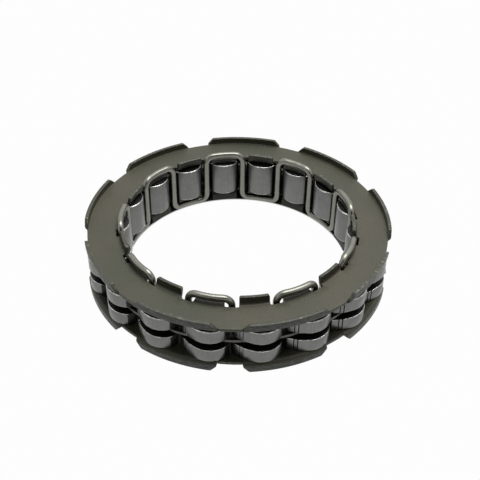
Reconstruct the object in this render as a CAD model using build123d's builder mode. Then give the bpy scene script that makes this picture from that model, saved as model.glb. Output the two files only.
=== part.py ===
"""Caged sprag clutch: eighteen sprags between two pressed plates, held by a meander spring.

The origin is on the axis, midway between the plates, and +Z runs along the axis.
Angles are counted about +Z from +X, where the first sprag and a tab of the upper plate stand.
"""
from build123d import *
from math import cos, radians, sin, sqrt, tan
import os

# Races that the clutch runs between, which are not part of the model
inner_race_radius = 22.225
race_space = 8.33            # between the two races

# Sprags
sprag_count = 18
sprag_length = 7.41          # along the axis
outer_slack = 0.125          # between a free outer cam and its race
inner_grip = 0.425           # how far a free inner cam stands past its race
outer_cam_radius = 4.31
inner_cam_radius = 3.77
outer_cam_offset = 0.75      # how far the outer cam leans ahead of the inner cam
head_lead = 4.23             # width of the head ahead of the sprag's centre line
head_side = 0.55             # depth of the head's sides
head_flare = 0.32            # how far those sides lean out, below the corners
upper_flank_slope = 27.0     # two flats lead off the outer cam behind
upper_flank_length = 1.65
lower_flank_slope = 41.5
lower_flank_length = 2.20
foot_clearance = 0.2225      # between a foot and the spring's legs beside it
waist_half_width = 2.35
waist_rise = 3.80            # from the inner cam out to the waist

# Centre ring, which threads the slots of all the sprags
ring_rise = 0.60             # from the sprags' waist out to the ring's bore
ring_width = 2.25
ring_thickness = 0.60
ring_play = 0.56             # at each side of the ring in its slots
ring_clearance = 0.70        # between the ring's bore and a slot's floor

# Cage plates, one pressing used twice
sheet = 0.65
end_play = 0.10              # between a sprag's end and the plate
lip_count = 9
lip_clearance = 0.055        # the lips run inside the outer race
lip_height = 1.345           # above the plate's outer face
lip_bend = 0.25              # inside radius of the bend
lip_corner = 0.35            # clipped corners of the free edge
notch_step = 0.60            # from the lips' face back to the plate's edge in a notch
notch_width = 4.70           # between two lips, at the plate
notch_opening = 7.40         # between two lips, at their free edges
notch_angle = -10.0
tab_clearance = 0.555        # between a tab's free edge and the inner race
tab_height = 1.52
tab_bend = 0.45
tab_lean = 8.0               # from the upright, towards the bore
tab_corner = 0.30
relief_clearance = 0.38      # between a leg of the spring and its window's floor
relief_play = 0.67           # at each side of a leg in its window

# Meander spring, bent from one length of flattened wire
leg_rise = 1.51              # from the inner cams out to the middle of the legs
wire_depth = 1.20            # across the wire, radially
wire_width = 1.30            # across the wire, round the ring
loop_clearance = 0.51        # between a loop and the plate
tongue_reach = 0.20          # of the plate past the middle of the legs, under a loop
bend_radius = 1.65           # middle of the wire at a loop's corners
butt_gap = 0.60              # between the wire's two ends
butt_angle = 200.0

# Places worked out from the sizes above
sprag_pitch = 360 / sprag_count
half_pitch = radians(sprag_pitch / 2)
outer_race_radius = inner_race_radius + race_space
outer_reach = outer_race_radius - outer_slack
inner_reach = inner_race_radius - inner_grip
waist_radius = inner_reach + waist_rise
ring_inner_radius = waist_radius + ring_rise
ring_outer_radius = ring_inner_radius + ring_width
groove_floor_radius = ring_inner_radius - ring_clearance
groove_width = ring_thickness + 2 * ring_play
plate_inner_face = sprag_length / 2 + end_play
plate_face = plate_inner_face + sheet
plate_middle = plate_face - sheet / 2
lip_radius = outer_race_radius - lip_clearance
lip_middle = lip_radius - sheet / 2
lip_bend_line = lip_radius - sheet - lip_bend
lip_top = plate_face + lip_height
web_radius = lip_radius - notch_step
tab_radius = inner_race_radius + tab_clearance
tab_top = plate_face + tab_height
tab_reach = (tab_top - plate_middle) * tan(radians(tab_lean))
tab_corner_radius = tab_radius + sheet / 2 + tab_reach
tab_bend_middle = tab_bend + sheet / 2
tab_bend_line = tab_corner_radius + tab_bend_middle * tan(radians(45 - tab_lean / 2))
leg_radius = inner_reach + leg_rise
tongue_radius = leg_radius - tongue_reach
relief_radius = leg_radius + wire_depth / 2 + relief_clearance
relief_width = wire_width + 2 * relief_play
loop_middle = plate_face + loop_clearance + wire_width / 2
foot_half_width = leg_radius * sin(half_pitch) - wire_width / 2 * cos(half_pitch) - foot_clearance


def on_ring(radius, angle, height=0.0, ahead=0.0):
    """Point at a radius, angle and height, moved ahead along the tangent."""
    a = radians(angle)
    return (
        radius * cos(a) - ahead * sin(a),
        radius * sin(a) + ahead * cos(a),
        height,
    )


# Cage plates: a flat web, with lips turned up outside and tabs turned up inside

with BuildPart() as lip_gap:
    with BuildSketch(Plane.YZ.offset(lip_bend_line - 2 * sheet)):
        with BuildLine():
            Polyline(
                (-notch_width / 2, 0),
                (notch_width / 2, 0),
                (notch_width / 2, plate_face),
                (notch_opening / 2, lip_top),
                (notch_opening / 2, lip_top + sheet),
                (-notch_opening / 2, lip_top + sheet),
                (-notch_opening / 2, lip_top),
                (-notch_width / 2, plate_face),
                close=True,
            )
        make_face()
    extrude(amount=5 * sheet)

with BuildPart() as lips:
    with BuildSketch(Plane.XZ):
        with BuildLine():
            FilletPolyline(
                (lip_bend_line - sheet, plate_middle),
                (lip_middle, plate_middle),
                (lip_middle, lip_top),
                radius=lip_bend + sheet / 2,
            )
        trace(line_width=sheet)
    revolve(axis=Axis.Z)
    with PolarLocations(0, lip_count, start_angle=notch_angle):
        add(lip_gap.part, mode=Mode.SUBTRACT)
    free_corners = lips.edges().filter_by(
        lambda e: abs(e.center().Z - lip_top) < 0.01 and e.length < 2 * sheet
    )
    chamfer(free_corners, lip_corner)

with BuildSketch() as leg_window:
    with PolarLocations(relief_radius, sprag_count, start_angle=sprag_pitch / 2):
        Rectangle(2 * relief_width, relief_width, align=(Align.MAX, Align.CENTER))

with BuildSketch() as tongue_span:
    with PolarLocations(0, lip_count, start_angle=sprag_pitch):
        Polygon(
            (0, 0),
            on_ring(web_radius, -sprag_pitch / 2)[:2],
            on_ring(web_radius, sprag_pitch / 2)[:2],
            align=None,
        )

with BuildPart() as tabs:
    with BuildSketch(Plane.XZ):
        with BuildLine():
            FilletPolyline(
                (tab_bend_line + sheet, plate_middle),
                (tab_corner_radius, plate_middle),
                (tab_corner_radius - tab_reach, tab_top),
                radius=tab_bend_middle,
            )
        trace(line_width=sheet)
    revolve(axis=Axis.Z)
    with BuildSketch():
        add(leg_window.sketch)
        add(tongue_span.sketch)
    extrude(amount=tab_top + sheet, mode=Mode.SUBTRACT)
    free_corners = tabs.edges().filter_by(
        lambda e: abs(e.center().Z - tab_top) < 0.1 and e.length < 2 * sheet
    )
    chamfer(free_corners, tab_corner)

with BuildSketch() as tongues:
    add(tongue_span.sketch)
    Circle(tab_bend_line + sheet, mode=Mode.INTERSECT)
    Circle(tongue_radius, mode=Mode.SUBTRACT)

with BuildPart() as upper_plate:
    with BuildSketch(Plane.XY.offset(plate_inner_face)):
        with PolarLocations(0, lip_count, start_angle=notch_angle):
            Rectangle(2 * web_radius, notch_width, align=(Align.MIN, Align.CENTER))
        Circle(web_radius, mode=Mode.INTERSECT)
        Circle(lip_bend_line)
        Circle(tab_bend_line, mode=Mode.SUBTRACT)
        add(tongues.sketch)
        add(leg_window.sketch, mode=Mode.SUBTRACT)
    extrude(amount=sheet)
    add(lips.part)
    add(tabs.part)

# The lower plate is the same pressing turned over about a line through a notch
with BuildPart() as lower_plate:
    add(upper_plate.part.rotate(Axis((0, 0, 0), on_ring(1, notch_angle)), 180))


# Centre ring
with BuildPart() as centre_ring:
    with BuildSketch(Plane.XY.offset(-ring_thickness / 2)):
        Circle(ring_outer_radius)
        Circle(ring_inner_radius, mode=Mode.SUBTRACT)
    extrude(amount=ring_thickness)


# Meander spring: one wave is swept, then repeated round the ring

def loop_side(angle, turn, level):
    """Wire's middle at a loop's corner: its leg end, mid bend and loop end."""
    leg_end = on_ring(leg_radius, angle, level * (loop_middle - bend_radius))
    mid_bend = on_ring(
        leg_radius,
        angle,
        level * (loop_middle - bend_radius * (1 - sin(radians(45)))),
        turn * bend_radius * (1 - cos(radians(45))),
    )
    loop_end = on_ring(leg_radius, angle, level * loop_middle, turn * bend_radius)
    return leg_end, mid_bend, loop_end


# A loop is an arc in a level plane that meets both corners on their tangents
loop_crown = bend_radius / sin(half_pitch) + leg_radius - bend_radius / tan(half_pitch)
first_leg, second_leg, next_leg = (sprag_pitch * k + sprag_pitch / 2 for k in range(3))

with BuildPart() as spring_wave:
    with BuildLine() as wave:
        Line(on_ring(leg_radius, first_leg), loop_side(first_leg, 1, 1)[0])
        ThreePointArc(*loop_side(first_leg, 1, 1))
        ThreePointArc(
            loop_side(first_leg, 1, 1)[2],
            on_ring(loop_crown, first_leg + sprag_pitch / 2, loop_middle),
            loop_side(second_leg, -1, 1)[2],
        )
        ThreePointArc(*reversed(loop_side(second_leg, -1, 1)))
        Line(loop_side(second_leg, -1, 1)[0], loop_side(second_leg, 1, -1)[0])
        ThreePointArc(*loop_side(second_leg, 1, -1))
        ThreePointArc(
            loop_side(second_leg, 1, -1)[2],
            on_ring(loop_crown, second_leg + sprag_pitch / 2, -loop_middle),
            loop_side(next_leg, -1, -1)[2],
        )
        ThreePointArc(*reversed(loop_side(next_leg, -1, -1)))
        Line(loop_side(next_leg, -1, -1)[0], on_ring(leg_radius, next_leg))
    with BuildSketch(Plane(on_ring(leg_radius, first_leg), x_dir=on_ring(1, first_leg))):
        Rectangle(wire_depth, wire_width)
    sweep(path=wave.line)

with BuildPart() as meander_spring:
    with PolarLocations(0, lip_count):
        add(spring_wave.part)
    with Locations(on_ring(loop_crown, butt_angle, -loop_middle)):
        Box(3 * wire_depth, butt_gap, 2 * wire_width, rotation=(0, 0, butt_angle), mode=Mode.SUBTRACT)


# Sprags: a drawn profile cut to length, with X outwards and Y ahead round the ring

outer_cam_middle = outer_reach - outer_cam_radius
inner_cam_middle = inner_reach + inner_cam_radius
head_corner = (
    outer_cam_middle + sqrt(outer_cam_radius**2 - (head_lead - outer_cam_offset) ** 2),
    head_lead,
)
foot_radius = inner_cam_middle - sqrt(inner_cam_radius**2 - foot_half_width**2)
upper_slope = radians(upper_flank_slope)
lower_slope = radians(lower_flank_slope)
cam_end = (
    outer_cam_middle + outer_cam_radius * cos(upper_slope),
    outer_cam_offset - outer_cam_radius * sin(upper_slope),
)
flank_break = (
    cam_end[0] - upper_flank_length * sin(upper_slope),
    cam_end[1] - upper_flank_length * cos(upper_slope),
)
flank_end = (
    flank_break[0] - lower_flank_length * sin(lower_slope),
    flank_break[1] - lower_flank_length * cos(lower_slope),
)

lead_corner = (head_corner[0] - head_side, head_corner[1] + head_flare)
tail_corner = (flank_end[0] - head_side, flank_end[1] - head_flare)

with BuildPart() as sprag:
    with BuildSketch(Plane.XY.offset(-sprag_length / 2)):
        with BuildLine():
            ThreePointArc(head_corner, (outer_reach, outer_cam_offset), cam_end)
            Polyline(cam_end, flank_break, flank_end, tail_corner)
            ThreePointArc(
                tail_corner,
                (waist_radius, -waist_half_width),
                (foot_radius, -foot_half_width),
            )
            ThreePointArc(
                (foot_radius, -foot_half_width), (inner_reach, 0), (foot_radius, foot_half_width)
            )
            ThreePointArc(
                (foot_radius, foot_half_width),
                (waist_radius, waist_half_width),
                lead_corner,
            )
            Line(lead_corner, head_corner)
        make_face()
    extrude(amount=sprag_length)
    with Locations((groove_floor_radius, 0, 0)):
        Box(
            outer_reach,
            outer_reach,
            groove_width,
            align=(Align.MIN, Align.CENTER, Align.CENTER),
            mode=Mode.SUBTRACT,
        )

sprags = []
for number in range(sprag_count):
    with BuildPart() as placed:
        add(sprag.part.rotate(Axis.Z, number * sprag_pitch))
    placed.part.label = f"sprag_{number + 1:02d}"
    sprags.append(placed.part)


# Hand over the pieces
upper_plate.part.label = "upper_plate"
lower_plate.part.label = "lower_plate"
meander_spring.part.label = "meander_spring"
centre_ring.part.label = "centre_ring"

os.makedirs("parts", exist_ok=True)
export_step(upper_plate.part, "parts/upper_plate.step")
export_step(lower_plate.part, "parts/lower_plate.step")
export_step(meander_spring.part, "parts/meander_spring.step")
export_step(centre_ring.part, "parts/centre_ring.step")
for piece in sprags:
    export_step(piece, f"parts/{piece.label}.step")
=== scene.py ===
# Caged sprag clutch: pressed plates, ground sprags, meander wire spring and centre ring.
import bmesh
import bpy
from math import acos, asin, atan, atan2, cos, degrees, hypot, pi, radians, sin, sqrt, tan
from mathutils import Matrix, Quaternion, Vector


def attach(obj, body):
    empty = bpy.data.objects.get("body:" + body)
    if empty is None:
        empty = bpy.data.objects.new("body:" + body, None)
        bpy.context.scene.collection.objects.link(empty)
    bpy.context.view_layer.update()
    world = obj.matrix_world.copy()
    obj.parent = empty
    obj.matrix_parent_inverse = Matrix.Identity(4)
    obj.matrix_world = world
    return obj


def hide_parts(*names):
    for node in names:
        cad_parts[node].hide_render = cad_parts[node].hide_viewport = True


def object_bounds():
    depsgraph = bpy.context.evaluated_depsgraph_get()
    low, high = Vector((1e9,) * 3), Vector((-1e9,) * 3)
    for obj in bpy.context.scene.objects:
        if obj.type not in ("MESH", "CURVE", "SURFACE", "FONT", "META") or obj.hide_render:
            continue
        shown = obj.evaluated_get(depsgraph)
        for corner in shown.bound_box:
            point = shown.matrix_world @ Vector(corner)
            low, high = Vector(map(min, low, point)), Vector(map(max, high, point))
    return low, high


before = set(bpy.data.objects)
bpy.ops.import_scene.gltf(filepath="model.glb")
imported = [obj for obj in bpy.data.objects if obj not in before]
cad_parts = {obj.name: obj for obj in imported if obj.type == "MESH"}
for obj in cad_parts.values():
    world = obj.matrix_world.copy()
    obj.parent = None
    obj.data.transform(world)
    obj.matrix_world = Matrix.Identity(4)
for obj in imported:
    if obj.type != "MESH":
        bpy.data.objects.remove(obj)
cadLow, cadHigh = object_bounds()
mm = 0.001
samePlace = 1e-6            # metres; closer than this, two places are one
print("frame loaded:", len(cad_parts), "nodes")


# small helpers

def hexToLinear(code):
    # sRGB hex to the linear colour that the shaders take
    channels = [int(code[i:i + 2], 16) / 255 for i in (1, 3, 5)]
    linear = [c / 12.92 if c <= 0.04045 else ((c + 0.055) / 1.055) ** 2.4 for c in channels]
    return (*linear, 1.0)


def addNode(tree, kind, settings=None, links=None):
    # adds one shader node, sets its attributes and inputs, and links what feeds it
    node = tree.nodes.new(kind)
    for key, value in (settings or {}).items():
        if isinstance(key, str) and hasattr(node, key):
            setattr(node, key, value)
        else:
            node.inputs[key].default_value = value
    for key, source in (links or {}).items():
        tree.links.new(source, node.inputs[key])
    return node


def newMaterial(name):
    material = bpy.data.materials.new(name)
    material.use_nodes = True
    material.node_tree.nodes.clear()
    return material, material.node_tree


def deselectAll():
    if bpy.context.object and bpy.context.object.mode != "OBJECT":
        bpy.ops.object.mode_set(mode="OBJECT")
    bpy.ops.object.select_all(action="DESELECT")


def pickUp(piece):
    deselectAll()
    piece.select_set(True)
    bpy.context.view_layer.objects.active = piece


def selectEdges(piece, test):
    # in edit mode, selects the edges whose middle passes the test
    mesh = bmesh.from_edit_mesh(piece.data)
    bpy.ops.mesh.select_all(action="DESELECT")
    bpy.ops.mesh.select_mode(type="EDGE")
    for edge in mesh.edges:
        middle = (edge.verts[0].co + edge.verts[1].co) / 2
        edge.select_set(test(edge, middle))
    mesh.select_flush_mode()
    bmesh.update_edit_mesh(piece.data)


def selectFaces(piece, test):
    mesh = bmesh.from_edit_mesh(piece.data)
    bpy.ops.mesh.select_all(action="DESELECT")
    bpy.ops.mesh.select_mode(type="FACE")
    for face in mesh.faces:
        face.select_set(test(face))
    bmesh.update_edit_mesh(piece.data)


def applyModifier(piece, kind, **settings):
    pickUp(piece)
    modifier = piece.modifiers.new(kind.lower(), kind)
    for key, value in settings.items():
        setattr(modifier, key, value)
    bpy.ops.object.modifier_apply(modifier=modifier.name)


def freezePlace(piece):
    pickUp(piece)
    bpy.ops.object.transform_apply(location=True, rotation=True, scale=True)


def smoothPiece(piece, angle):
    pickUp(piece)
    bpy.ops.object.shade_smooth_by_angle(angle=radians(angle))


def spinBy(steps, angle, centre, axis=(0, 0, 1)):
    # spins the selection anticlockwise about the axis; the operator itself counts clockwise
    bpy.ops.mesh.spin(steps=steps, angle=-angle, center=centre, axis=axis)


def turnedCopy(piece, name, turn):
    # a copy with its own mesh, its place turned in the mesh itself
    twin = piece.copy()
    twin.data = piece.data.copy()
    twin.name = name
    twin.data.name = name
    bpy.context.scene.collection.objects.link(twin)
    twin.data.transform(turn)
    return twin


def wrapped(angle, period):
    # angle brought within half a period either side of zero
    return (angle + period / 2) % period - period / 2


# cage plates

plate = {
    "sheet": 0.65,
    "face": 4.455,            # outer face, above the middle of the clutch
    "count": 9,
    "columns": 360,           # one column to a degree
    "webRadius": 29.90,
    "lipRadius": 30.50,
    "lipBend": 0.25,
    "lipHeight": 1.345,
    "lipCorner": 0.36,
    "notchWidth": 4.40,
    "notchOpening": 6.95,
    "notchAngle": -10.0,
    "notchColumns": 5,        # columns either side of a notch's middle
    "lipSteps": 4,            # rings round the lips' corners
    "webRings": (0.30, 0.75), # further rings, as shares of the way out to the bend
    "tabRadius": 22.78,
    "tabHeight": 1.52,
    "tabBend": 0.45,
    "tabLean": 8.0,
    "tabCorner": 0.35,
    "tabSteps": 5,            # rings round the tabs' corners
    "tabShadeReach": 0.80,         # how far out from the tabs the painted shade begins to thin
    "tabShadeLevel": 0.62,           # how far the painted shade on the tabs darkens them
    "tongueRadius": 23.11,
    "reliefWidth": 2.64,
    "reliefRadius": 24.29,
    "reliefCorner": 0.22,     # under 0.25, or its first ring falls inside the tabs' bend
    "reliefRings": (1.0, 0.5, 0.13, 0.0),   # rings at a window's corners, as shares of them
    "reliefColumns": 4,
    "bendSteps": 6,
    "edgeRound": 0.07,
    "edgeSteps": 2,
    "sharpAngle": 35,         # only edges that turn by more are rounded
    "smoothAngle": 40,
    "margin": 0.01,           # of a test on a radius or height
}
platePitch = 360 / plate["count"]
legPitch = platePitch / 2
lipTop = plate["face"] + plate["lipHeight"]
lipBendLine = plate["lipRadius"] - plate["sheet"] - plate["lipBend"]
tabSlope = radians(plate["tabLean"])
tabReach = (plate["tabHeight"] + plate["sheet"] / 2) * tan(tabSlope)
tabBendMiddle = plate["tabBend"] + plate["sheet"] / 2
tabBendLine = (
    plate["tabRadius"] + plate["sheet"] / 2 + tabReach + tabBendMiddle * tan(pi / 4 - tabSlope / 2)
)
tabEdgeRadius = plate["tabRadius"] + plate["sheet"] / 2 * (1 + cos(tabSlope))
tabTop = plate["face"] + plate["tabHeight"] + plate["sheet"] / 2 * sin(tabSlope)


def spread(angle, nominal, wanted, period):
    # moves a column so that the one at the nominal angle comes to the wanted one
    side = 1 if angle > 0 else -1
    reach = abs(angle)
    if reach <= nominal:
        return side * reach * wanted / nominal
    return side * (wanted + (reach - nominal) * (period / 2 - wanted) / (period / 2 - nominal))


def notchHalf(height):
    # half of a notch's width at a height on the lips, with their rounded corners
    slope = (plate["notchOpening"] - plate["notchWidth"]) / 2 / plate["lipHeight"]
    half = plate["notchWidth"] / 2 + slope * max(height - plate["face"], 0)
    corner = plate["lipCorner"]
    turn = pi / 2 - atan(slope)
    drop = lipTop - height
    if drop < corner * (1 - cos(turn)):
        around = acos(min(1, 1 - max(drop, 0) / corner))
        half = plate["notchOpening"] / 2 + corner * (tan(turn / 2) - sin(around))
    return half


def reliefHalf(radius, height):
    # half of a leg window's width, rounded at its floor and at the tabs' free corners
    half = plate["reliefWidth"] / 2
    if height > plate["face"] + plate["margin"]:
        corner = plate["tabCorner"]
        up = corner - (tabTop - height) / cos(tabSlope)
        return half if up <= 0 else half + corner - sqrt(max(corner**2 - up**2, 0))
    corner = plate["reliefCorner"]
    out = radius - (plate["reliefRadius"] - corner)
    return half if out <= 0 else half - corner + sqrt(max(corner**2 - out**2, 0))


def ringOut(radius, height):
    # extrudes the selected edges to a new radius and height
    mesh = bmesh.from_edit_mesh(bpy.context.object.data)
    start = next(v.co.copy() for v in mesh.verts if v.select)
    bpy.ops.mesh.extrude_edges_move()
    bpy.ops.transform.translate(value=(0, 0, height * mm - start.z))
    scale = radius * mm / hypot(start.x, start.y)
    bpy.ops.transform.resize(value=(scale, scale, 1), center_override=(0, 0, 0))


def selectColumns(piece, radius, height, test):
    # selects the edges that lie on one ring, in the columns that pass the test
    def onRing(edge, middle):
        level = all(abs(v.co.z - height * mm) < samePlace for v in edge.verts)
        near = all(abs(hypot(v.co.x, v.co.y) - radius * mm) < samePlace for v in edge.verts)
        return level and near and test(degrees(atan2(middle.y, middle.x)))
    selectEdges(piece, onRing)


def makePlate():
    face = plate["face"]
    bpy.ops.mesh.primitive_circle_add(
        vertices=plate["columns"], radius=tabBendLine * mm, location=(0, 0, face * mm)
    )
    piece = bpy.context.object
    freezePlace(piece)
    bpy.ops.object.mode_set(mode="EDIT")

    # web, ring by ring out to the lips' bend, closer together where the windows round off
    bpy.ops.mesh.select_all(action="SELECT")
    windowFloor = plate["reliefRadius"]
    for share in plate["reliefRings"]:
        ringOut(windowFloor - share * plate["reliefCorner"], face)
    for share in (*plate["webRings"], 1):
        ringOut((1 - share) * windowFloor + share * lipBendLine, face)

    # windows for the spring's legs
    def inWindow(angle):
        return abs(wrapped(angle - legPitch / 2, legPitch)) < plate["reliefColumns"]

    def inNotch(angle):
        return abs(wrapped(angle - plate["notchAngle"], platePitch)) < plate["notchColumns"]

    def underTab(angle):
        return abs(wrapped(angle, platePitch)) < legPitch / 2

    selectFaces(piece, lambda f: f.calc_center_median().xy.length < windowFloor * mm
                and inWindow(degrees(atan2(f.calc_center_median().y, f.calc_center_median().x))))
    bpy.ops.mesh.delete(type="FACE")

    # lips, turned up through the bend
    selectColumns(piece, lipBendLine, face, lambda angle: not inNotch(angle))
    for step in range(1, plate["bendSteps"] + 1):
        around = pi / 2 * step / plate["bendSteps"]
        ringOut(lipBendLine + plate["lipBend"] * sin(around),
                face + plate["lipBend"] * (1 - cos(around)))
    lipFace = plate["lipRadius"] - plate["sheet"]
    straight = face + plate["lipBend"]
    turn = pi / 2 - atan((plate["notchOpening"] - plate["notchWidth"]) / 2 / plate["lipHeight"])
    bent = lipTop - plate["lipCorner"] * (1 - cos(turn))
    ringOut(lipFace, straight + (bent - straight) / 2)
    for step in range(plate["lipSteps"], -1, -1):
        ringOut(lipFace, lipTop - plate["lipCorner"] * (1 - cos(turn * step / plate["lipSteps"])))

    # flat edges in the notches
    selectColumns(piece, lipBendLine, face, inNotch)
    ringOut(plate["webRadius"], face)

    # tabs, turned up and leaning to the bore
    selectColumns(piece, tabBendLine, face, lambda a: underTab(a) and not inWindow(a))
    for step in range(1, plate["bendSteps"] + 1):
        around = (pi / 2 - tabSlope) * step / plate["bendSteps"]
        ringOut(tabBendLine - plate["tabBend"] * sin(around),
                face + plate["tabBend"] * (1 - cos(around)))
    tabFoot = face + plate["tabBend"] * (1 - sin(tabSlope))
    tabLength = (tabTop - tabFoot) / cos(tabSlope)
    corner = plate["tabCorner"]
    for along in (0.5 * (tabLength - corner),
                  *(tabLength - corner * (1 - sin(radians(90 * k / plate["tabSteps"])))
                    for k in range(plate["tabSteps"] + 1))):
        ringOut(tabEdgeRadius + (tabLength - along) * sin(tabSlope), tabFoot + along * cos(tabSlope))

    # tongues under the spring's loops
    selectColumns(piece, tabBendLine, face, lambda a: not underTab(a) and not inWindow(a))
    ringOut(plate["tongueRadius"], face)

    # columns moved to the true sides of the windows, tabs, notches and lips
    mesh = bmesh.from_edit_mesh(piece.data)
    for v in mesh.verts:
        radius, height = v.co.xy.length / mm, v.co.z / mm
        angle = round(degrees(atan2(v.co.y, v.co.x)))
        if radius < windowFloor + plate["margin"]:
            leg = wrapped(angle - legPitch / 2, legPitch)
            wanted = degrees(asin(reliefHalf(radius, height) / radius))
            moved = angle - leg + spread(leg, plate["reliefColumns"], wanted, legPitch)
        elif radius > lipBendLine - plate["margin"]:
            notch = wrapped(angle - plate["notchAngle"], platePitch)
            wanted = degrees(asin(notchHalf(height) / radius))
            moved = angle - notch + spread(notch, plate["notchColumns"], wanted, platePitch)
        else:
            continue
        v.co.x, v.co.y = radius * mm * cos(radians(moved)), radius * mm * sin(radians(moved))
    bmesh.update_edit_mesh(piece.data)
    bpy.ops.mesh.select_all(action="SELECT")
    bpy.ops.mesh.remove_doubles(threshold=samePlace)
    bpy.ops.mesh.normals_make_consistent(inside=False)
    bpy.ops.object.mode_set(mode="OBJECT")
    level = 0.99              # normals steeper than this belong to flat faces
    upward = next(p for p in piece.data.polygons if abs(p.normal.z) > level).normal.z > 0
    if not upward:
        piece.data.flip_normals()
    return piece


upperPlate = makePlate()
upperPlate.name = "pressedPlateUpper"
upperPlate.data.materials.append(None)
upperPlate.data.materials.append(None)
applyModifier(upperPlate, "SOLIDIFY", thickness=plate["sheet"] * mm, offset=-1,
              use_even_offset=True, use_quality_normals=True, material_offset_rim=1)
applyModifier(upperPlate, "BEVEL", width=plate["edgeRound"] * mm, segments=plate["edgeSteps"],
              limit_method="ANGLE", angle_limit=radians(plate["sharpAngle"]))
smoothPiece(upperPlate, plate["smoothAngle"])
notchLine = Vector((cos(radians(plate["notchAngle"])), sin(radians(plate["notchAngle"])), 0))
lowerPlate = turnedCopy(upperPlate, "pressedPlateLower", Matrix.Rotation(pi, 4, notchLine))
print("plates modelled:", len(upperPlate.data.polygons), "faces each")


# meander spring

spring = {
    "legRadius": 23.31,
    "wireDepth": 1.20,        # radially
    "wireWidth": 1.30,        # round the ring
    "wireRound": 0.50,
    "roundSteps": 4,
    "smoothAngle": 40,
    "bendRadius": 1.65,
    "loopMiddle": 5.615,
    "legs": 18,
    "buttAngle": 200.0,
    "buttGap": 0.60,
    "cornerSteps": 8,
    "loopSteps": 5,
}


def atAngle(radius, angle, height=0.0, ahead=0.0):
    # a point in metres, from millimetres and degrees
    a = radians(angle)
    return Vector((radius * cos(a) - ahead * sin(a), radius * sin(a) + ahead * cos(a), height)) * mm


def makeSpring():
    halfPitch = radians(legPitch / 2)
    bend = spring["bendRadius"]
    reach = spring["loopMiddle"] - bend
    loopCentre = bend / sin(halfPitch)
    loopRadius = spring["legRadius"] - bend / tan(halfPitch)
    gapAngle = degrees(spring["buttGap"] / 2 / loopRadius)
    start = spring["buttAngle"] + gapAngle
    middle = atAngle(loopCentre, spring["buttAngle"]) + atAngle(loopRadius, start, -spring["loopMiddle"])

    # rounded section at one end of the wire
    bpy.ops.mesh.primitive_plane_add(size=mm, location=middle, rotation=(pi / 2, 0, radians(start)))
    wire = bpy.context.object
    wire.scale = (spring["wireDepth"], spring["wireWidth"], 1)
    freezePlace(wire)
    bpy.ops.object.mode_set(mode="EDIT")
    bpy.ops.mesh.select_all(action="SELECT")
    bpy.ops.mesh.bevel(offset=spring["wireRound"] * mm, segments=spring["roundSteps"],
                       affect="VERTICES")
    bpy.ops.mesh.select_all(action="SELECT")

    def turnLoop(angle, crown):
        spinBy(spring["loopSteps"], radians(angle), atAngle(loopCentre, crown))

    turnLoop(legPitch / 2 - gapAngle, spring["buttAngle"])
    for number in range(spring["legs"]):
        leg = spring["buttAngle"] + legPitch * (number + 0.5)
        way = 1 if number % 2 == 0 else -1
        for level, side in ((-way, 1), (way, -1)):
            spinBy(spring["cornerSteps"], side * way * pi / 2,
                   atAngle(spring["legRadius"], leg, level * reach, -side * bend),
                   atAngle(1, leg).normalized())
            if side == 1:
                bpy.ops.mesh.extrude_region_move(
                    TRANSFORM_OT_translate={"value": (0, 0, 2 * way * reach * mm)}
                )
        last = number == spring["legs"] - 1
        turnLoop(legPitch / 2 - gapAngle if last else legPitch, leg + legPitch / 2)
    bpy.ops.mesh.select_all(action="SELECT")
    bpy.ops.mesh.remove_doubles(threshold=samePlace)
    bpy.ops.mesh.normals_make_consistent(inside=False)
    bpy.ops.object.mode_set(mode="OBJECT")
    smoothPiece(wire, spring["smoothAngle"])
    return wire


meanderSpring = makeSpring()
meanderSpring.name = "meanderSpringWire"
print("spring modelled:", len(meanderSpring.data.polygons), "faces")


# centre ring

ring = {
    "innerRadius": 26.20,
    "outerRadius": 28.45,
    "thickness": 0.60,
    "edgeRound": 0.10,
    "edgeSteps": 2,
    "sharpAngle": 40,
    "columns": 360,
}

bpy.ops.mesh.primitive_circle_add(vertices=ring["columns"], radius=ring["innerRadius"] * mm,
                                  location=(0, 0, ring["thickness"] / 2 * mm))
centreRing = bpy.context.object
centreRing.name = "flatCentreRing"
freezePlace(centreRing)
bpy.ops.object.mode_set(mode="EDIT")
bpy.ops.mesh.select_all(action="SELECT")
ringOut(ring["outerRadius"], ring["thickness"] / 2)
bpy.ops.mesh.select_all(action="SELECT")
bpy.ops.mesh.normals_make_consistent(inside=False)
bpy.ops.object.mode_set(mode="OBJECT")
if centreRing.data.polygons[0].normal.z < 0:
    centreRing.data.flip_normals()
applyModifier(centreRing, "SOLIDIFY", thickness=ring["thickness"] * mm, offset=-1)
applyModifier(centreRing, "BEVEL", width=ring["edgeRound"] * mm, segments=ring["edgeSteps"],
              limit_method="ANGLE", angle_limit=radians(ring["sharpAngle"]))
smoothPiece(centreRing, ring["sharpAngle"])
print("centre ring modelled")


# sprags

sprag = {
    "count": 18,
    "length": 7.41,
    "outerReach": 30.43,
    "innerReach": 21.80,
    "outerCam": 4.31,
    "innerCam": 3.77,
    "outerOffset": 0.75,
    "headLead": 4.23,
    "headSide": 1.25,         # depth of the head's sides, which lean out by the flare
    "headFlare": 0.42,
    "upperSlope": 27.0,       # two flats lead off the outer cam behind
    "upperLength": 1.65,
    "lowerSlope": 41.5,
    "lowerLength": 2.20,
    "footHalf": 3.185,
    "waistHalf": 2.35,
    "waistRadius": 25.60,
    "grooveWidth": 1.72,
    "grooveFloor": 25.50,
    "lineStart": 0.20,        # two fine lines left on the lower flank by the drawing die
    "lineSpacing": 0.72,
    "lineWidth": 0.20,
    "lineDepth": 0.14,
    "rim": 0.20,
    "rimSteps": 3,
    "mouthRim": 0.11,
    "mouthSteps": 2,
    "smoothAngle": 32,
    "camSteps": 20,
    "waistSteps": 10,
}


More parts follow.
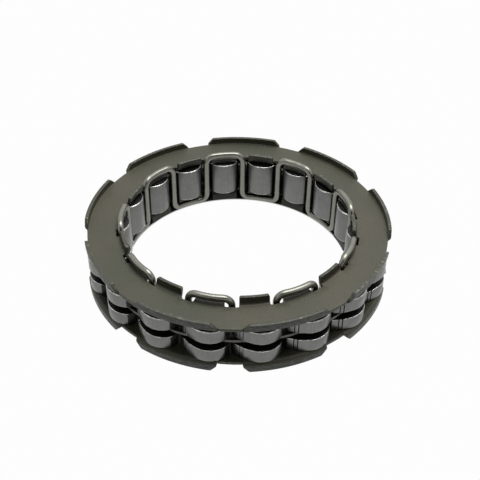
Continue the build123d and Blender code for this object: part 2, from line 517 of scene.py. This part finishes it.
def arcThrough(start, middle, end):
    # centre and signed angle of the arc through three points
    (ax, ay), (bx, by), (cx, cy) = start, middle, end
    d = 2 * (ax * (by - cy) + bx * (cy - ay) + cx * (ay - by))
    sa, sb, sc = ax * ax + ay * ay, bx * bx + by * by, cx * cx + cy * cy
    x = (sa * (by - cy) + sb * (cy - ay) + sc * (ay - by)) / d
    y = (sa * (cx - bx) + sb * (ax - cx) + sc * (bx - ax)) / d
    angle = atan2(cy - y, cx - x) - atan2(ay - y, ax - x)
    through = atan2(by - y, bx - x) - atan2(ay - y, ax - x)
    if angle * through < 0 or abs(through) > abs(angle):
        angle -= 2 * pi if angle > 0 else -2 * pi
    return (x, y), angle


def makeSprag():
    outerMiddle = sprag["outerReach"] - sprag["outerCam"]
    innerMiddle = sprag["innerReach"] + sprag["innerCam"]
    offset = sprag["outerOffset"]
    lead = sprag["headLead"]
    foot = sprag["footHalf"]
    waist = (sprag["waistRadius"], sprag["waistHalf"])
    upper, lower = radians(sprag["upperSlope"]), radians(sprag["lowerSlope"])
    headCorner = (outerMiddle + sqrt(sprag["outerCam"]**2 - (lead - offset)**2), lead)
    footRadius = innerMiddle - sqrt(sprag["innerCam"]**2 - foot**2)
    camEnd = (outerMiddle + sprag["outerCam"] * cos(upper), offset - sprag["outerCam"] * sin(upper))
    flankBreak = (camEnd[0] - sprag["upperLength"] * sin(upper),
                  camEnd[1] - sprag["upperLength"] * cos(upper))
    flankEnd = (flankBreak[0] - sprag["lowerLength"] * sin(lower),
                flankBreak[1] - sprag["lowerLength"] * cos(lower))
    base = -sprag["length"] / 2

    bpy.ops.mesh.primitive_plane_add(size=mm, location=(0, 0, 0))
    piece = bpy.context.object
    bpy.ops.object.mode_set(mode="EDIT")
    mesh = bmesh.from_edit_mesh(piece.data)
    bmesh.ops.delete(mesh, geom=list(mesh.verts)[1:], context="VERTS")
    pen = list(mesh.verts)[0]
    pen.co = Vector((*headCorner, base)) * mm
    pen.select_set(True)
    bmesh.update_edit_mesh(piece.data)
    place = [headCorner]

    def lineTo(x, y):
        bpy.ops.mesh.extrude_vertices_move(TRANSFORM_OT_translate={
            "value": ((x - place[-1][0]) * mm, (y - place[-1][1]) * mm, 0)})
        place.append((x, y))

    def arcTo(middle, end, steps):
        centre, angle = arcThrough(place[-1], middle, end)
        spinBy(steps, angle, Vector((*centre, base)) * mm)
        place.append(end)

    def dieLine(along, slope):
        # a fine groove across the flank: in, out, and on
        half, depth = sprag["lineWidth"] / 2, sprag["lineDepth"]
        down = (-sin(slope), -cos(slope))
        inward = (-cos(slope), sin(slope))
        start = place[-1]
        for step, sink in ((along - half, 0), (along, depth), (along + half, 0)):
            lineTo(start[0] + down[0] * step + inward[0] * sink,
                   start[1] + down[1] * step + inward[1] * sink)

    arcTo((sprag["outerReach"], offset), camEnd, sprag["camSteps"])
    lineTo(*flankBreak)
    dieLine(sprag["lineStart"], lower)
    dieLine(sprag["lineSpacing"] - sprag["lineWidth"] / 2, lower)
    lineTo(*flankEnd)
    lineTo(flankEnd[0] - sprag["headSide"], flankEnd[1] - sprag["headFlare"])
    arcTo((waist[0], -waist[1]), (footRadius, -foot), sprag["waistSteps"])
    arcTo((sprag["innerReach"], 0), (footRadius, foot), sprag["camSteps"])
    arcTo(waist, (headCorner[0] - sprag["headSide"], lead + sprag["headFlare"]), sprag["waistSteps"])
    lineTo(*headCorner)
    bpy.ops.mesh.select_all(action="SELECT")
    bpy.ops.mesh.remove_doubles(threshold=samePlace)
    bpy.ops.mesh.edge_face_add()
    bpy.ops.mesh.extrude_region_move(
        TRANSFORM_OT_translate={"value": (0, 0, sprag["length"] * mm)}
    )
    bpy.ops.mesh.select_all(action="SELECT")
    bpy.ops.mesh.normals_make_consistent(inside=False)
    bpy.ops.object.mode_set(mode="OBJECT")

    # slot for the centre ring, cut from outside
    wide = 20.0               # cutter, larger than the head all round
    bpy.ops.mesh.primitive_cube_add(size=mm, location=((sprag["grooveFloor"] + wide / 2) * mm, 0, 0))
    cutter = bpy.context.object
    cutter.scale = (wide, wide, sprag["grooveWidth"])
    freezePlace(cutter)
    applyModifier(piece, "BOOLEAN", object=cutter, operation="DIFFERENCE", solver="EXACT")
    bpy.data.objects.remove(cutter)

    # rounded rims at the ends and a light break at the slot's mouth
    pickUp(piece)
    bpy.ops.object.mode_set(mode="EDIT")
    half = sprag["length"] / 2
    mouth = sprag["grooveWidth"] / 2
    clearOfFloor = sprag["grooveFloor"] + 0.1

    def sharpAt(edge, middle, height):
        onLevel = abs(abs(middle.z) - height * mm) < samePlace / 10
        return onLevel and edge.calc_face_angle(0) > 0.5

    selectEdges(piece, lambda edge, m: sharpAt(edge, m, half))
    bpy.ops.mesh.bevel(offset=sprag["rim"] * mm, segments=sprag["rimSteps"], affect="EDGES")
    selectEdges(piece, lambda edge, m: sharpAt(edge, m, mouth) and m.x > clearOfFloor * mm)
    bpy.ops.mesh.bevel(offset=sprag["mouthRim"] * mm, segments=sprag["mouthSteps"], affect="EDGES")
    bpy.ops.object.mode_set(mode="OBJECT")
    smoothPiece(piece, sprag["smoothAngle"])
    return piece


firstSprag = makeSprag()
firstSprag.name = "formSprag01"
print("sprag modelled:", len(firstSprag.data.polygons), "faces")


# materials

def phosphatedSheet():
    # pressed steel, phosphated and oiled: a dark green-grey crystal skin with a dull sheen, and painted
    # shade on the tabs at the bore
    material, tree = newMaterial("phosphatedSheet")
    place = addNode(tree, "ShaderNodeTexCoord")
    patches = addNode(tree, "ShaderNodeTexNoise",
                      {"Scale": 1 / (14 * mm), "Detail": 3.0, "Roughness": 0.55},
                      {"Vector": place.outputs["Object"]})
    crystals = addNode(tree, "ShaderNodeTexNoise",
                       {"Scale": 1 / (0.30 * mm), "Detail": 3.0, "Roughness": 0.65},
                       {"Vector": place.outputs["Object"]})
    patchShare = addNode(tree, "ShaderNodeMapRange", {"From Min": 0.35, "From Max": 0.65},
                         {"Value": patches.outputs["Fac"]})
    tone = addNode(tree, "ShaderNodeMix", {"data_type": "RGBA", 6: hexToLinear("#4a4c3e"),
                                           7: hexToLinear("#575446")},
                   {0: patchShare.outputs["Result"]})
    speckle = addNode(tree, "ShaderNodeMapRange", {"From Min": 0.35, "From Max": 0.68,
                                                   "To Min": 0.86, "To Max": 1.14},
                      {"Value": crystals.outputs["Fac"]})

    # painted shade: the tabs are darkened towards the bore, where they stand in shade
    flat = addNode(tree, "ShaderNodeVectorMath", {"operation": "MULTIPLY", 1: (1, 1, 0)},
                   {0: place.outputs["Object"]})
    radius = addNode(tree, "ShaderNodeVectorMath", {"operation": "LENGTH"}, {0: flat.outputs[0]})
    tabShadeMask = addNode(tree, "ShaderNodeMapRange",
                    {"From Min": (plate["tabRadius"] + plate["tabShadeReach"]) * mm,
                     "From Max": tabBendLine * mm, "To Min": plate["tabShadeLevel"]},
                    {"Value": radius.outputs["Value"]})
    shade = addNode(tree, "ShaderNodeMath", {"operation": "MULTIPLY"},
                    {0: speckle.outputs["Result"], 1: tabShadeMask.outputs["Result"]})
    colour = addNode(tree, "ShaderNodeMix", {"data_type": "RGBA", "blend_type": "MULTIPLY", 0: 1.0},
                     {6: tone.outputs[2], 7: shade.outputs[0]})
    bump = addNode(tree, "ShaderNodeBump", {"Strength": 0.35, "Distance": 0.02 * mm},
                   {"Height": crystals.outputs["Fac"]})
    sheen = addNode(tree, "ShaderNodeMapRange", {"To Min": 0.40, "To Max": 0.56},
                    {"Value": patches.outputs["Fac"]})
    shader = addNode(tree, "ShaderNodeBsdfPrincipled",
                     {"Metallic": 0.1, "Specular IOR Level": 0.35},
                     {"Base Color": colour.outputs[2], "Roughness": sheen.outputs["Result"],
                      "Normal": bump.outputs["Normal"]})
    addNode(tree, "ShaderNodeOutputMaterial", None, {"Surface": shader.outputs["BSDF"]})
    return material


def shearedEdge():
    # cut edge of the same sheet, phosphated over, with small bright burrs where it rubs
    material, tree = newMaterial("shearedEdge")
    place = addNode(tree, "ShaderNodeTexCoord")
    burrs = addNode(tree, "ShaderNodeTexNoise",
                    {"Scale": 1 / (0.6 * mm), "Detail": 4.0, "Roughness": 0.7},
                    {"Vector": place.outputs["Object"]})
    worn = addNode(tree, "ShaderNodeMapRange", {"From Min": 0.56, "From Max": 0.70},
                   {"Value": burrs.outputs["Fac"]})
    colour = addNode(tree, "ShaderNodeMix", {"data_type": "RGBA", 6: hexToLinear("#4c4e43"),
                                             7: hexToLinear("#8f8d82")},
                     {0: worn.outputs["Result"]})
    shader = addNode(tree, "ShaderNodeBsdfPrincipled",
                     {"Metallic": 0.3, "Roughness": 0.45, "Specular IOR Level": 0.35},
                     {"Base Color": colour.outputs[2]})
    addNode(tree, "ShaderNodeOutputMaterial", None, {"Surface": shader.outputs["BSDF"]})
    return material


def burnishedLip():
    # the lips' faces beside the race: the skin is rubbed to streaks that run round
    material, tree = newMaterial("burnishedLip")
    place = addNode(tree, "ShaderNodeTexCoord")
    stretch = addNode(tree, "ShaderNodeMapping", {"Scale": (1, 1, 5)},
                      {"Vector": place.outputs["Object"]})
    streaks = addNode(tree, "ShaderNodeTexNoise",
                      {"Scale": 1 / (1.1 * mm), "Detail": 4.0, "Roughness": 0.65},
                      {"Vector": stretch.outputs["Vector"]})
    rubbed = addNode(tree, "ShaderNodeMapRange", {"From Min": 0.36, "From Max": 0.70},
                     {"Value": streaks.outputs["Fac"]})
    colour = addNode(tree, "ShaderNodeMix", {"data_type": "RGBA", 6: hexToLinear("#353833"),
                                             7: hexToLinear("#6b6d67")},
                     {0: rubbed.outputs["Result"]})
    rough = addNode(tree, "ShaderNodeMapRange", {"To Min": 0.50, "To Max": 0.34},
                    {"Value": rubbed.outputs["Result"]})
    shader = addNode(tree, "ShaderNodeBsdfPrincipled",
                     {"Metallic": 0.35, "Specular IOR Level": 0.35},
                     {"Base Color": colour.outputs[2], "Roughness": rough.outputs["Result"]})
    addNode(tree, "ShaderNodeOutputMaterial", None, {"Surface": shader.outputs["BSDF"]})
    return material


def drawnWire():
    # hard-drawn spring wire, rolled flat: satin steel with faint blotches of oil
    material, tree = newMaterial("drawnWire")
    place = addNode(tree, "ShaderNodeTexCoord")
    blotches = addNode(tree, "ShaderNodeTexNoise",
                       {"Scale": 1 / (1.6 * mm), "Detail": 4.0, "Roughness": 0.6},
                       {"Vector": place.outputs["Object"]})
    colour = addNode(tree, "ShaderNodeMix", {"data_type": "RGBA", 6: hexToLinear("#6e6e67"),
                                             7: hexToLinear("#8b8b82")},
                     {0: blotches.outputs["Fac"]})
    rough = addNode(tree, "ShaderNodeMapRange", {"To Min": 0.26, "To Max": 0.38},
                    {"Value": blotches.outputs["Fac"]})
    shader = addNode(tree, "ShaderNodeBsdfPrincipled", {"Metallic": 1.0},
                     {"Base Color": colour.outputs[2], "Roughness": rough.outputs["Result"]})
    addNode(tree, "ShaderNodeOutputMaterial", None, {"Surface": shader.outputs["BSDF"]})
    return material


def groundSteel():
    # hardened bearing steel, ground and tumbled: fine axial lines under an oil film
    material, tree = newMaterial("groundSteel")
    place = addNode(tree, "ShaderNodeTexCoord")
    stretch = addNode(tree, "ShaderNodeMapping", {"Scale": (1, 1, 0.08)},
                      {"Vector": place.outputs["Object"]})
    lines = addNode(tree, "ShaderNodeTexNoise",
                    {"Scale": 1 / (0.22 * mm), "Detail": 3.0, "Roughness": 0.6},
                    {"Vector": stretch.outputs["Vector"]})
    stains = addNode(tree, "ShaderNodeTexNoise",
                     {"Scale": 1 / (2.5 * mm), "Detail": 4.0, "Roughness": 0.6},
                     {"Vector": place.outputs["Object"]})
    tone = addNode(tree, "ShaderNodeMix", {"data_type": "RGBA", 6: hexToLinear("#636462"),
                                           7: hexToLinear("#7b7c78")},
                   {0: stains.outputs["Fac"]})
    fine = addNode(tree, "ShaderNodeMapRange", {"From Min": 0.3, "From Max": 0.7,
                                                "To Min": 0.92, "To Max": 1.08},
                   {"Value": lines.outputs["Fac"]})
    colour = addNode(tree, "ShaderNodeMix", {"data_type": "RGBA", "blend_type": "MULTIPLY", 0: 1.0},
                     {6: tone.outputs[2], 7: fine.outputs["Result"]})
    bump = addNode(tree, "ShaderNodeBump", {"Strength": 0.2, "Distance": 0.01 * mm},
                   {"Height": lines.outputs["Fac"]})
    shader = addNode(tree, "ShaderNodeBsdfPrincipled", {"Metallic": 1.0, "Roughness": 0.34},
                     {"Base Color": colour.outputs[2], "Normal": bump.outputs["Normal"]})
    addNode(tree, "ShaderNodeOutputMaterial", None, {"Surface": shader.outputs["BSDF"]})
    return material


def paintedRimHighlight():
    # the same steel on the rims, lightened in patches as a painted highlight along the edges
    material, tree = newMaterial("paintedRimHighlight")
    place = addNode(tree, "ShaderNodeTexCoord")
    highlightPatches = addNode(tree, "ShaderNodeTexNoise",
                      {"Scale": 1 / (0.9 * mm), "Detail": 3.0, "Roughness": 0.6},
                      {"Vector": place.outputs["Object"]})
    share = addNode(tree, "ShaderNodeMapRange", {"From Min": 0.38, "From Max": 0.62},
                    {"Value": highlightPatches.outputs["Fac"]})
    colour = addNode(tree, "ShaderNodeMix", {"data_type": "RGBA", 6: hexToLinear("#80807d"),
                                             7: hexToLinear("#c4c4c0")},
                     {0: share.outputs["Result"]})
    shader = addNode(tree, "ShaderNodeBsdfPrincipled", {"Metallic": 1.0, "Roughness": 0.24},
                     {"Base Color": colour.outputs[2]})
    addNode(tree, "ShaderNodeOutputMaterial", None, {"Surface": shader.outputs["BSDF"]})
    return material


def blackOxide():
    # blackened and oiled steel where the sprags were not ground
    material, tree = newMaterial("blackOxide")
    place = addNode(tree, "ShaderNodeTexCoord")
    bloom = addNode(tree, "ShaderNodeTexNoise",
                    {"Scale": 1 / (0.8 * mm), "Detail": 4.0, "Roughness": 0.6},
                    {"Vector": place.outputs["Object"]})
    colour = addNode(tree, "ShaderNodeMix", {"data_type": "RGBA", 6: hexToLinear("#0c0c0c"),
                                             7: hexToLinear("#1e1d1e")},
                     {0: bloom.outputs["Fac"]})
    shader = addNode(tree, "ShaderNodeBsdfPrincipled",
                     {"Metallic": 0.0, "Roughness": 0.42, "Specular IOR Level": 0.25},
                     {"Base Color": colour.outputs[2]})
    addNode(tree, "ShaderNodeOutputMaterial", None, {"Surface": shader.outputs["BSDF"]})
    return material


def temperedRing():
    # hardened strip, tempered to a dark purple-grey
    material, tree = newMaterial("temperedRing")
    place = addNode(tree, "ShaderNodeTexCoord")
    bloom = addNode(tree, "ShaderNodeTexNoise",
                    {"Scale": 1 / (2.0 * mm), "Detail": 4.0, "Roughness": 0.6},
                    {"Vector": place.outputs["Object"]})
    colour = addNode(tree, "ShaderNodeMix", {"data_type": "RGBA", 6: hexToLinear("#4a4947"),
                                             7: hexToLinear("#6c6a66")},
                     {0: bloom.outputs["Fac"]})
    shader = addNode(tree, "ShaderNodeBsdfPrincipled", {"Metallic": 0.8, "Roughness": 0.4},
                     {"Base Color": colour.outputs[2]})
    addNode(tree, "ShaderNodeOutputMaterial", None, {"Surface": shader.outputs["BSDF"]})
    return material


sheetFinish, edgeFinish, lipFinish = phosphatedSheet(), shearedEdge(), burnishedLip()
wireFinish, camFinish = drawnWire(), groundSteel()
# the rims' finish is a painted highlight: lighter steel along the sprags' edges
oxideFinish, rimHighlightFinish, ringFinish = blackOxide(), paintedRimHighlight(), temperedRing()
lipSkin = plate["lipRadius"] - 0.03      # what lies further out, and upright, rubs on the race
for piece in (upperPlate, lowerPlate):
    piece.data.materials[0] = sheetFinish
    piece.data.materials[1] = edgeFinish
    piece.data.materials.append(lipFinish)
    for face in piece.data.polygons:
        if face.center.xy.length > lipSkin * mm and abs(face.normal.z) < 0.3:
            face.material_index = 2
meanderSpring.data.materials.append(wireFinish)
centreRing.data.materials.append(ringFinish)

# the cams and flanks are ground, the rims carry a painted highlight, and the ends, sides, waist and slot
# stay black
firstSprag.data.materials.append(camFinish)
firstSprag.data.materials.append(oxideFinish)
firstSprag.data.materials.append(rimHighlightFinish)
grooveWall = (sprag["grooveWidth"] / 2 + 0.005) * mm
slotStart = (sprag["grooveFloor"] - 0.05) * mm
footEnd = (sprag["innerReach"] + 1.2) * mm
waistFrom = sprag["waistRadius"] * mm - 1.9 * mm
waistTo = sprag["waistRadius"] * mm + 1.2 * mm
for face in firstSprag.data.polygons:
    middle, normal = face.center, face.normal
    endFace = abs(normal.z) > 0.97
    slot = abs(middle.z) < grooveWall and middle.x > slotStart
    side = abs(normal.y) > 0.75 and middle.x > footEnd
    waist = waistFrom < middle.x < waistTo
    black = endFace or slot or side or waist
    face.material_index = 1 if black else 2 if abs(normal.z) > 0.2 else 0

sprags = [firstSprag]
for number in range(1, sprag["count"]):
    turn = Matrix.Rotation(radians(number * 360 / sprag["count"]), 4, "Z")
    sprags.append(turnedCopy(firstSprag, f"formSprag{number + 1:02d}", turn))
print("materials set,", len(sprags), "sprags placed")


# bodies and replaced nodes

for piece, node in ((upperPlate, "upper_plate"), (lowerPlate, "lower_plate"),
                    (meanderSpring, "meander_spring"), (centreRing, "centre_ring")):
    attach(piece, "cage")
    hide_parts(node)
for number, piece in enumerate(sprags):
    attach(piece, f"sprag_{number + 1:02d}")
    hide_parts(f"sprag_{number + 1:02d}")


# floor, light and camera

studio = {
    "floorSize": 3.0,
    "floorShade": "#565654",
    "bounceShade": "#6e6e6c",     # what the floor gives back to the undersides
    "floorGlow": 0.985,           # share of plain white, kept off the painted shade
    "shadeFrom": 23.3,            # the shade is painted by position, in millimetres
    "shadeTo": 27.8,
    "shadeFade": 0.5,
    "shadeSoft": 3.6,
    "shadeLength": 17.5,          # how far the shade falls behind the clutch
    "shadeEnd": 45.5,
    "shadeEndSoft": 8.5,
    "skyStrength": 0.10,
    "overhead": 3.3,
    "overheadSize": 0.42,
    "overheadPlace": (0.09, 0.14, 0.60),
    "fill": 0.10,
    "fillSize": 0.35,
    "fillPlace": (-0.25, -0.45, 0.30),
    "cardDistance": 0.60,
    "cardSize": (0.90, 0.44),
}

bpy.ops.mesh.primitive_plane_add(size=studio["floorSize"], location=(0, 0, cadLow[2]))
floor = bpy.context.object
floor.name = "paleFloor"


def seenDirectly(tree):
    # one where the ray comes from the camera, a reflection or glass
    rays = addNode(tree, "ShaderNodeLightPath")
    either = addNode(tree, "ShaderNodeMath", {"operation": "MAXIMUM"},
                     {0: rays.outputs["Is Camera Ray"], 1: rays.outputs["Is Glossy Ray"]})
    return addNode(tree, "ShaderNodeMath", {"operation": "MAXIMUM"},
                   {0: either.outputs[0], 1: rays.outputs["Is Transmission Ray"]}).outputs[0]


def paleFloor():
    # matt card, lifted to white outside the shade painted under and behind the clutch
    material, tree = newMaterial("paleFloor")
    place = addNode(tree, "ShaderNodeTexCoord")
    flat = addNode(tree, "ShaderNodeVectorMath", {"operation": "MULTIPLY", 1: (1, 1, 0)},
                   {0: place.outputs["Object"]})
    radius = addNode(tree, "ShaderNodeVectorMath", {"operation": "LENGTH"}, {0: flat.outputs[0]})
    inside = addNode(tree, "ShaderNodeMapRange",
                     {"From Min": (studio["shadeFrom"] - studio["shadeFade"]) * mm,
                      "From Max": studio["shadeFrom"] * mm, "To Min": 1.0, "To Max": 0.0},
                     {"Value": radius.outputs["Value"]})

    # distance from the nearest point of a line that runs back from the middle
    along = addNode(tree, "ShaderNodeVectorMath", {"operation": "DOT_PRODUCT", 1: (0, 1, 0)},
                    {0: flat.outputs[0]})
    near = addNode(tree, "ShaderNodeClamp", {"Max": studio["shadeLength"] * mm},
                   {"Value": along.outputs["Value"]})
    point = addNode(tree, "ShaderNodeCombineXYZ", None, {"Y": near.outputs[0]})
    reach = addNode(tree, "ShaderNodeVectorMath", {"operation": "DISTANCE"},
                    {0: flat.outputs[0], 1: point.outputs[0]})
    outside = addNode(tree, "ShaderNodeMapRange",
                      {"interpolation_type": "SMOOTHSTEP",
                       "From Min": (studio["shadeTo"] - studio["shadeSoft"]) * mm,
                       "From Max": studio["shadeTo"] * mm},
                      {"Value": reach.outputs["Value"]})
    behind = addNode(tree, "ShaderNodeMapRange",
                     {"interpolation_type": "SMOOTHSTEP",
                      "From Min": (studio["shadeEnd"] - studio["shadeEndSoft"]) * mm,
                      "From Max": studio["shadeEnd"] * mm},
                     {"Value": along.outputs["Value"]})
    around = addNode(tree, "ShaderNodeMath", {"operation": "MAXIMUM"},
                     {0: outside.outputs["Result"], 1: behind.outputs["Result"]})
    clear = addNode(tree, "ShaderNodeMath", {"operation": "MAXIMUM"},
                    {0: inside.outputs["Result"], 1: around.outputs[0]})
    share = addNode(tree, "ShaderNodeMath", {"operation": "MULTIPLY", 1: studio["floorGlow"]},
                    {0: clear.outputs[0]})
    matt = addNode(tree, "ShaderNodeBsdfDiffuse", {"Color": hexToLinear(studio["floorShade"])})
    glow = addNode(tree, "ShaderNodeEmission", {"Color": (1, 1, 1, 1), "Strength": 1.0})
    lifted = addNode(tree, "ShaderNodeMixShader", None,
                     {0: share.outputs[0], 1: matt.outputs[0], 2: glow.outputs[0]})
    bounce = addNode(tree, "ShaderNodeBsdfDiffuse", {"Color": hexToLinear(studio["bounceShade"])})
    surface = addNode(tree, "ShaderNodeMixShader", None,
                      {0: seenDirectly(tree), 1: bounce.outputs[0], 2: lifted.outputs[0]})

    # clear from below, so that the underside can be looked at
    side = addNode(tree, "ShaderNodeNewGeometry")
    clearBack = addNode(tree, "ShaderNodeBsdfTransparent")
    oneSided = addNode(tree, "ShaderNodeMixShader", None,
                       {0: side.outputs["Backfacing"], 1: surface.outputs[0],
                        2: clearBack.outputs[0]})
    addNode(tree, "ShaderNodeOutputMaterial", None, {"Surface": oneSided.outputs[0]})
    return material


floor.data.materials.append(paleFloor())


def blackCard():
    # black felt, seen only in what shines
    material, tree = newMaterial("blackCard")
    felt = addNode(tree, "ShaderNodeBsdfDiffuse", {"Color": hexToLinear("#0a0a0a")})
    addNode(tree, "ShaderNodeOutputMaterial", None, {"Surface": felt.outputs[0]})
    return material


world = bpy.data.worlds.new("softStudio")
bpy.context.scene.world = world
world.use_nodes = True
world.node_tree.nodes.clear()
sky = addNode(world.node_tree, "ShaderNodeBackground",
              {"Color": (1, 1, 1, 1), "Strength": studio["skyStrength"]})
backdrop = addNode(world.node_tree, "ShaderNodeBackground", {"Color": (1, 1, 1, 1), "Strength": 1.0})
mixed = addNode(world.node_tree, "ShaderNodeMixShader", None,
                {0: seenDirectly(world.node_tree), 1: sky.outputs[0], 2: backdrop.outputs[0]})
addNode(world.node_tree, "ShaderNodeOutputWorld", None, {"Surface": mixed.outputs[0]})


def softLamp(name, place, size, power):
    bpy.ops.object.light_add(type="AREA", location=place)
    lamp = bpy.context.object
    lamp.name = name
    lamp.data.size = size
    lamp.data.energy = power
    lamp.rotation_mode = "QUATERNION"
    lamp.rotation_quaternion = (-Vector(place)).to_track_quat("-Z", "Y")


softLamp("overheadBox", studio["overheadPlace"], studio["overheadSize"], studio["overhead"])
softLamp("frontFill", studio["fillPlace"], studio["fillSize"], studio["fill"])

view = {
    "azimuth": 2.0,
    "elevation": 38.9,
    "distance": 176.5,
    "lens": 64.92,
    "sensor": 36.0,
    "nearest": 0.01,
    "aimRight": 0.465,        # where the camera looks, from the middle of the clutch
    "aimUp": 0.26,
    "roll": 0.805,
}
around, above = radians(view["azimuth"]), radians(view["elevation"])
back = Vector((sin(around) * cos(above), -cos(around) * cos(above), sin(above)))
right = Vector((cos(around), sin(around), 0))
up = back.cross(right)
aim = (right * view["aimRight"] + up * view["aimUp"]) * mm
bpy.ops.object.camera_add(location=aim + back * view["distance"] * mm)
camera = bpy.context.object
camera.data.lens = view["lens"]
camera.data.sensor_width = view["sensor"]
camera.data.clip_start = view["nearest"]
camera.rotation_mode = "QUATERNION"
camera.rotation_quaternion = (-back).to_track_quat("-Z", "Y") @ Quaternion(
    (0, 0, 1), radians(view["roll"]))

# black card round the line of sight, which draws a dark line along bright edges
bpy.ops.mesh.primitive_plane_add(size=1, location=back * studio["cardDistance"])
card = bpy.context.object
card.name = "blackCard"
card.scale = (*studio["cardSize"], 1)
card.rotation_mode = "QUATERNION"
card.rotation_quaternion = (-back).to_track_quat("-Z", "Y")
card.visible_camera = False
card.data.materials.append(blackCard())
bpy.context.scene.camera = camera
bpy.context.scene.view_settings.view_transform = "Standard"
print("floor, light and camera placed")
